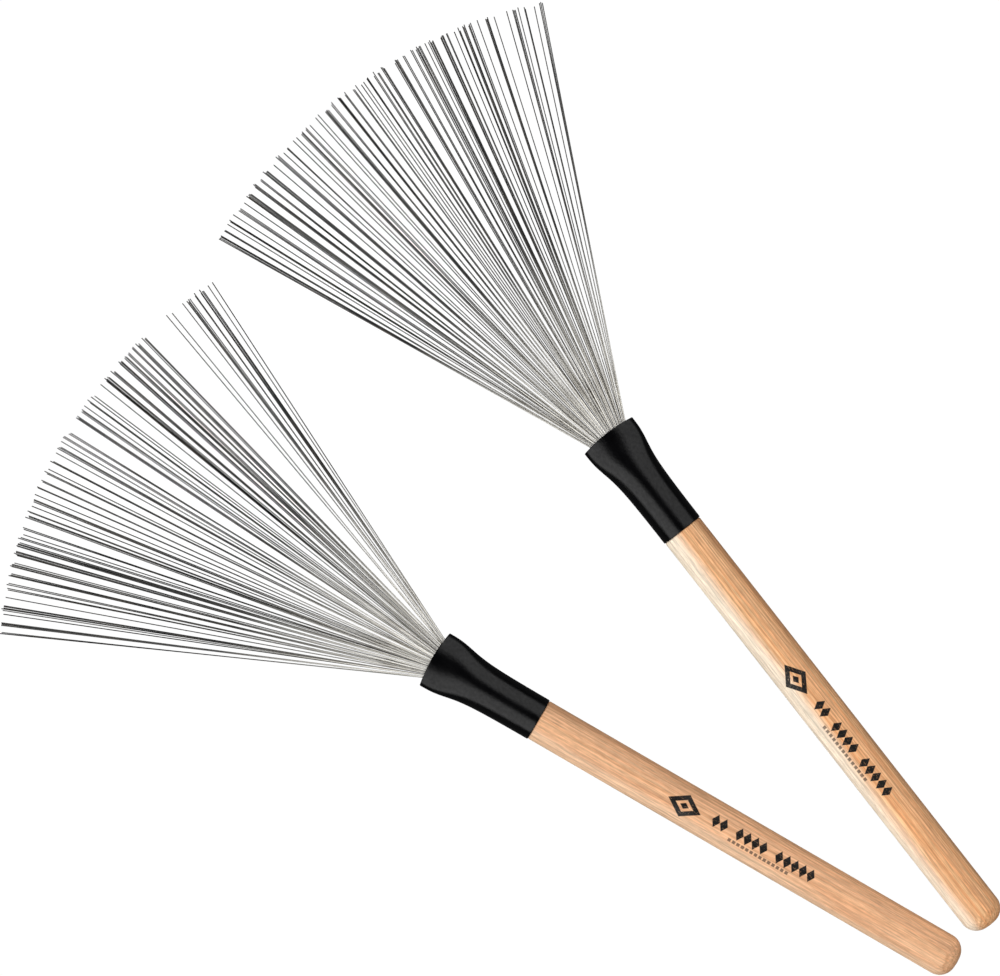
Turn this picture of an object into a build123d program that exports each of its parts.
from build123d import *
import math
import os
import random

# A pair of fixed wire drum brushes, lying flat beside each other on a table.
#
# Each brush is a turned wooden handle. A metal tube sits on the handle's tenon, and its front
# end is crimped to a flat slot. Hairpin wires loop round a steel pin in the tube, leave it
# through the slot in six layers, and fan out. A flared rubber collar covers the tube.
#
# Millimetres. +Z is up, the table is at Z = 0, and the origin is under the middle of the pair.
# In a brush's own plane +X runs along its axis towards the wire tips, +Y is its left, and the
# origin is the centre of the collar's mouth.

# ---- how the pair lies ----
MOUTH_AT = {"a": (33.9, 17.1), "b": (-21.2, -53.9)}
HEADING = {"a": 128.0, "b": 149.85}  # degrees from +X, anticlockwise

# ---- wooden handle ----
HANDLE_D = 13.7
HANDLE_LENGTH = {"a": 158.4, "b": 153.1}  # bare wood, from the collar to the butt
BUTT_ROUNDING = 5.5
TENON_LENGTH = 12.0
FIT_GAP = 0.02  # glued or pressed joints, on each side

# ---- rubber collar ----
COLLAR_LENGTH = 38.7
COLLAR_D = 14.1
MOUTH_SPREAD = 5.0  # how much wider than COLLAR_D the mouth is
FLARE_HALFWAY = 11.4  # distance behind the mouth where half the spread is left
FLARE_POWER = 3.4
FLATTENING = 1.19  # mm thinner for each mm wider, so that the girth stays the same
MOUTH_BULGE = 0.3  # how far the rounded front edge stands ahead of the mouth's centre
BULGE_RADIUS = 50.0  # of that edge, seen from above
COLLAR_STATIONS = (-MOUTH_BULGE, 2, 4, 6, 8, 10, 12, 14, 17, 20, 24, 30, COLLAR_LENGTH - FIT_GAP)
MOUTH_OPENING = (15.4, 4.4)
RIM_ROUNDING = 0.3

# ---- metal tube ----
TUBE_D = 10.6
TUBE_WALL = 0.7
SLOT_HEIGHT = 2.4  # inside the crimp
LIP_SETBACK = 3.0  # from the collar's mouth back to the tube's lip
CRIMP_END = 7.0  # the tube is fully flat in front of this
CRIMP_START = 19.5  # and round behind this
OVALITY = 0.1  # the round part is this much wider than high, so its edges meet the crimp's

# ---- pins ----
LOOP_PIN_D = 2.0
LOOP_PIN_AT = 21.0  # behind the mouth
HANDLE_PIN_D = 1.6
HANDLE_PIN_AT = 31.0
PIN_SETBACK = 0.6  # how much shorter the pins are than the tube is wide

# ---- wires ----
WIRE_D = 0.33
COLUMNS = 20  # hairpins side by side in each nest
LAYER_PITCH = 0.37
NESTS = ("inner", "middle", "outer")
LAYERS = 2 * len(NESTS)
WIRES = COLUMNS * LAYERS
LOOP_PITCH = 0.36  # between hairpins on the pin
LOOP_GAP = 0.035  # between the pin and the inner nest
LOOP_BENDS = 8  # straight facets in each half turn round the pin
THROAT_AT = 8.0  # behind the mouth, where the layers reach the slot's height
THROAT_PITCH = 0.5
THROAT_RISE = 0.1  # how much further from the axis the layers are there than at the lip
LIP_PITCH = 0.58
LIP_STAGGER = 0.035
ROOT_END = 0.25  # the clamped roots stop this far behind the mouth
LEG_START = 0.7  # the free legs start this far in front of it
APEX_SETBACK = 17.0  # the fan's lines of sight meet this far behind the mouth
TIP_RADIUS = 152.8  # from that apex
TIP_RAGGEDNESS = 0.6
FAN_EDGES = {"a": (22.6, -26.3), "b": (24.0, -26.3)}  # left and right edges, degrees
ELEVATION_STEP = 0.7  # degrees between neighbouring layers
ELEVATION_JITTER = 0.15

# The wires gather in tufts. Steps are relative to each other, and scaled to fill the fan.
TUFT_SIZES = (1, 1, 1, 2, 2, 3, 3, 4, 5)
STEP_IN_TUFT = (0.18, 0.27)
STEP_TO_NEXT_TUFT = (0.6, 1.8)
SEED = {"a": 11, "b": 4}
LAYER_SPACING = 0.45  # the least distance between neighbouring tips in one layer
# Wide gaps: where each starts and how much wider it is, in degrees, left to right.
WIDE_GAPS = {
    "a": ((10.2, 0.3), (3.4, 0.5), (-6.4, 0.4), (-17.8, 0.4), (-20.8, 0.8)),
    "b": ((10.9, 0.5), (-1.6, 0.9), (-6.9, 0.7), (-10.4, 0.6), (-16.2, 2.7), (-20.6, 1.0)),
}


def collar_half_width(behind):
    """Half the collar's outer width at a distance behind its mouth."""
    share = 1 / (1 + (max(behind, 0) / FLARE_HALFWAY) ** FLARE_POWER)
    return (COLLAR_D + MOUTH_SPREAD * share) / 2


def collar_half_thickness(behind):
    """Half its outer thickness there: the collar thins as it widens."""
    return COLLAR_D / 2 - FLATTENING * (collar_half_width(behind) - COLLAR_D / 2)


AXIS_HEIGHT = collar_half_thickness(COLLAR_LENGTH - FIT_GAP)
TUBE_BORE = TUBE_D - 2 * TUBE_WALL
MID_HEIGHT = SLOT_HEIGHT + TUBE_WALL
MID_WIDTH = MID_HEIGHT + math.pi * (TUBE_D - TUBE_WALL - MID_HEIGHT) / 2  # girth is kept


def brush_plane(side):
    """The brush's own plane, with its origin at the middle of the collar's mouth."""
    x, y = MOUTH_AT[side]
    heading = math.radians(HEADING[side])
    ahead = (math.cos(heading), math.sin(heading), 0)
    return Plane(origin=(x, y, AXIS_HEIGHT), x_dir=ahead, z_dir=(0, 0, 1))


def across(side, behind):
    """A plane square to the brush's axis. It faces the tips; its X is left and its Y is up."""
    base = brush_plane(side)
    origin = base.from_local_coords((-behind, 0, 0))
    return Plane(origin=origin, x_dir=base.y_dir, z_dir=base.x_dir)


def sideways(side, behind):
    """A plane that faces the brush's left, for a pin that runs from side to side."""
    base = brush_plane(side)
    origin = base.from_local_coords((-behind, 0, 0))
    return Plane(origin=origin, x_dir=base.x_dir, z_dir=base.y_dir)


def upright(side, behind):
    """A plane that faces up, for a pin that runs from bottom to top."""
    base = brush_plane(side)
    origin = base.from_local_coords((-behind, 0, 0))
    return Plane(origin=origin, x_dir=base.x_dir, z_dir=base.z_dir)


def save(builder, name):
    """Label a finished piece and write it to its own file."""
    builder.part.label = name
    export_step(builder.part, f"parts/{name}.step")


def tip_angles(side):
    """Directions of the wire tips from the apex, left to right, in degrees."""
    draw = random.Random(SEED[side])
    steps = []
    while len(steps) < WIRES - 1:
        steps += [draw.uniform(*STEP_IN_TUFT) for _ in range(draw.choice(TUFT_SIZES) - 1)]
        steps.append(draw.uniform(*STEP_TO_NEXT_TUFT))
    steps = steps[: WIRES - 1]
    left, right = FAN_EDGES[side]
    gaps = list(WIDE_GAPS[side])
    scale = (left - right - sum(extra for _, extra in gaps)) / sum(steps)
    angles = [left]
    for step in steps:
        angle = angles[-1] - step * scale
        if gaps and angle < gaps[0][0] and step >= STEP_TO_NEXT_TUFT[0]:
            angle -= gaps.pop(0)[1]
        angles.append(angle)
    return angles


def layer_order(draw, angles, previous):
    """Which place each layer takes among a column's angles, clear of its last neighbour."""
    least = math.degrees(LAYER_SPACING / TIP_RADIUS)
    while True:
        order = draw.sample(range(LAYERS), LAYERS)
        if all(last - angles[place] > least for last, place in zip(previous, order)):
            return order


def fan_lines(side):
    """The (lip, tip) line of every wire in the brush's plane, by (column, layer).

    Layer 0 is the lowest. Six neighbouring wires share a column, one in each layer.
    """
    draw = random.Random(SEED[side])
    angles = tip_angles(side)
    previous = [math.inf] * LAYERS
    lines = {}
    for column in range(COLUMNS):
        here = angles[column * LAYERS : (column + 1) * LAYERS]
        order = layer_order(draw, here, previous)
        previous = [here[place] for place in order]
        for layer, place in enumerate(order):
            angle = math.radians(here[place])
            radius = TIP_RADIUS + draw.uniform(-TIP_RAGGEDNESS, TIP_RAGGEDNESS)
            level = layer - (LAYERS - 1) / 2
            slope = level * ELEVATION_STEP + draw.uniform(-ELEVATION_JITTER, ELEVATION_JITTER)
            stagger = LIP_STAGGER * ((LAYERS - 1) / 2 - place)
            lip = Vector(
                -LIP_SETBACK,
                LIP_PITCH * ((COLUMNS - 1) / 2 - column) + stagger,
                level * LAYER_PITCH,
            )
            x = radius * math.cos(angle) - APEX_SETBACK
            y = radius * math.sin(angle)
            z = lip.Z + radius * math.tan(math.radians(slope))
            lines[column, layer] = (lip, Vector(x, y, z))
    return lines


def point_at(line, x):
    """The point of a wire's line at a distance x in front of the mouth."""
    lip, tip = line
    return lip + (tip - lip) * ((x - lip.X) / (tip.X - lip.X))


def make_handle(side):
    """Turned dowel with a rounded butt, and a tenon with a cross hole for its pin."""
    base = brush_plane(side)
    with BuildPart() as handle:
        with BuildSketch(across(side, COLLAR_LENGTH + HANDLE_LENGTH[side])):
            Circle(HANDLE_D / 2)
        extrude(amount=HANDLE_LENGTH[side])
        butt = handle.edges().sort_by(Axis(base.origin, base.x_dir))[0]
        fillet(butt, BUTT_ROUNDING)
        with BuildSketch(across(side, COLLAR_LENGTH)):
            Circle(TUBE_BORE / 2 - FIT_GAP)
        extrude(amount=TENON_LENGTH)
        with BuildSketch(upright(side, HANDLE_PIN_AT)):
            Circle(HANDLE_PIN_D / 2 + FIT_GAP)
        extrude(amount=TUBE_BORE, both=True, mode=Mode.SUBTRACT)
    save(handle, f"handle_{side}")


def tube_body(side, grow, back):
    """The tube's outline as a solid: round, then crimped, then flat up to the lip.

    grow offsets it from the tube's middle surface, and back is where the round end starts.
    """
    round_height = TUBE_D - TUBE_WALL + 2 * grow
    round_width = round_height + OVALITY
    flat_width = MID_WIDTH + 2 * grow
    flat_height = MID_HEIGHT + 2 * grow
    with BuildPart() as body:
        with BuildSketch(across(side, back)):
            SlotOverall(round_width, round_height)
        extrude(amount=back - CRIMP_START)
        with BuildSketch(across(side, CRIMP_START)):
            SlotOverall(round_width, round_height)
        with BuildSketch(across(side, CRIMP_END)):
            SlotOverall(flat_width, flat_height)
        loft()
        with BuildSketch(across(side, CRIMP_END)):
            SlotOverall(flat_width, flat_height)
        extrude(amount=CRIMP_END - LIP_SETBACK)
    return body.part


def make_tube(side):
    """Metal tube, round on the tenon and crimped to a slot at its lip, with its pin holes."""
    outside = tube_body(side, TUBE_WALL / 2, COLLAR_LENGTH - FIT_GAP)
    inside = tube_body(side, -TUBE_WALL / 2, COLLAR_LENGTH)
    with BuildPart() as tube:
        add(outside)
        add(inside, mode=Mode.SUBTRACT)
        with BuildSketch(upright(side, HANDLE_PIN_AT)):
            Circle(HANDLE_PIN_D / 2 + FIT_GAP)
        extrude(amount=TUBE_D, both=True, mode=Mode.SUBTRACT)
        with BuildSketch(sideways(side, LOOP_PIN_AT)):
            Circle(LOOP_PIN_D / 2 + FIT_GAP)
        extrude(amount=TUBE_D, both=True, mode=Mode.SUBTRACT)
    save(tube, f"crimped_tube_{side}")


def make_pins(side):
    """The pin that holds the tube on the handle, and the pin that the hairpins loop round."""
    half_length = (TUBE_D - PIN_SETBACK) / 2
    with BuildPart() as handle_pin:
        with BuildSketch(upright(side, HANDLE_PIN_AT)):
            Circle(HANDLE_PIN_D / 2)
        extrude(amount=half_length, both=True)
    save(handle_pin, f"handle_pin_{side}")
    with BuildPart() as loop_pin:
        with BuildSketch(sideways(side, LOOP_PIN_AT)):
            Circle(LOOP_PIN_D / 2)
        extrude(amount=half_length, both=True)
    save(loop_pin, f"loop_pin_{side}")


def make_collar(side):
    """Rubber collar: round on the handle's end, flattened and flared at its mouth."""
    base = brush_plane(side)
    hollow = tube_body(side, TUBE_WALL / 2 + FIT_GAP, COLLAR_LENGTH)
    with BuildPart() as collar:
        for behind in reversed(COLLAR_STATIONS):
            with BuildSketch(across(side, behind)):
                Ellipse(collar_half_width(behind), collar_half_thickness(behind))
        loft()
        with BuildSketch(upright(side, BULGE_RADIUS - MOUTH_BULGE)):
            Circle(BULGE_RADIUS)
        extrude(amount=COLLAR_D, both=True, mode=Mode.INTERSECT)
        rim = collar.edges().sort_by(Axis(base.origin, base.x_dir))[-1]
        fillet(rim, RIM_ROUNDING)
        add(hollow, mode=Mode.SUBTRACT)
        with BuildSketch(across(side, LIP_SETBACK)):
            SlotOverall(MID_WIDTH + TUBE_WALL + 2 * FIT_GAP, MID_HEIGHT + TUBE_WALL + 2 * FIT_GAP)
        with BuildSketch(across(side, -MOUTH_BULGE)):
            SlotOverall(*MOUTH_OPENING)
        loft(mode=Mode.SUBTRACT)
    save(collar, f"collar_{side}")


def make_loops(side, nest, lines):
    """Clamped part of one nest of hairpins: each runs back to the pin, round it and forward."""
    base = brush_plane(side)
    depth = NESTS.index(nest)
    radius = LOOP_PIN_D / 2 + WIRE_D / 2 + LOOP_GAP + depth * LAYER_PITCH
    upper = LAYERS // 2 + depth
    lower = LAYERS - 1 - upper
    with BuildPart() as loops:
        for column in range(COLUMNS):
            place = (COLUMNS - 1) / 2 - column
            top = lines[column, upper]
            bottom = lines[column, lower]
            route = [
                point_at(top, -ROOT_END),
                top[0],
                Vector(-THROAT_AT, THROAT_PITCH * place, top[0].Z + THROAT_RISE),
            ]
            for bend in range(LOOP_BENDS + 1):
                turn = math.pi * bend / LOOP_BENDS
                x = -LOOP_PIN_AT - radius * math.sin(turn)
                route.append(Vector(x, LOOP_PITCH * place, radius * math.cos(turn)))
            route += [
                Vector(-THROAT_AT, THROAT_PITCH * place, bottom[0].Z - THROAT_RISE),
                bottom[0],
                point_at(bottom, -ROOT_END),
            ]
            with BuildLine() as path:
                Polyline(*[base.from_local_coords(point) for point in route])
            with BuildSketch(Plane(origin=path.line @ 0, x_dir=base.z_dir, z_dir=path.line % 0)):
                Circle(WIRE_D / 2)
            sweep(transition=Transition.RIGHT)
    save(loops, f"hairpin_loops_{nest}_{side}")


def make_legs(side, nest, lines):
    """Free part of one nest of hairpins: the straight legs of its upper and lower layer."""
    base = brush_plane(side)
    upper = LAYERS // 2 + NESTS.index(nest)
    with BuildPart() as legs:
        for layer in (upper, LAYERS - 1 - upper):
            for column in range(COLUMNS):
                line = lines[column, layer]
                start = base.from_local_coords(point_at(line, LEG_START))
                leg = base.from_local_coords(line[1]) - start
                with BuildSketch(Plane(origin=start, z_dir=leg.normalized())):
                    Circle(WIRE_D / 2)
                extrude(amount=leg.length)
    save(legs, f"wire_legs_{nest}_{side}")


os.makedirs("parts", exist_ok=True)
for side in ("a", "b"):
    make_handle(side)
    make_tube(side)
    make_pins(side)
    make_collar(side)
    lines = fan_lines(side)
    for nest in NESTS:
        make_loops(side, nest, lines)
        make_legs(side, nest, lines)
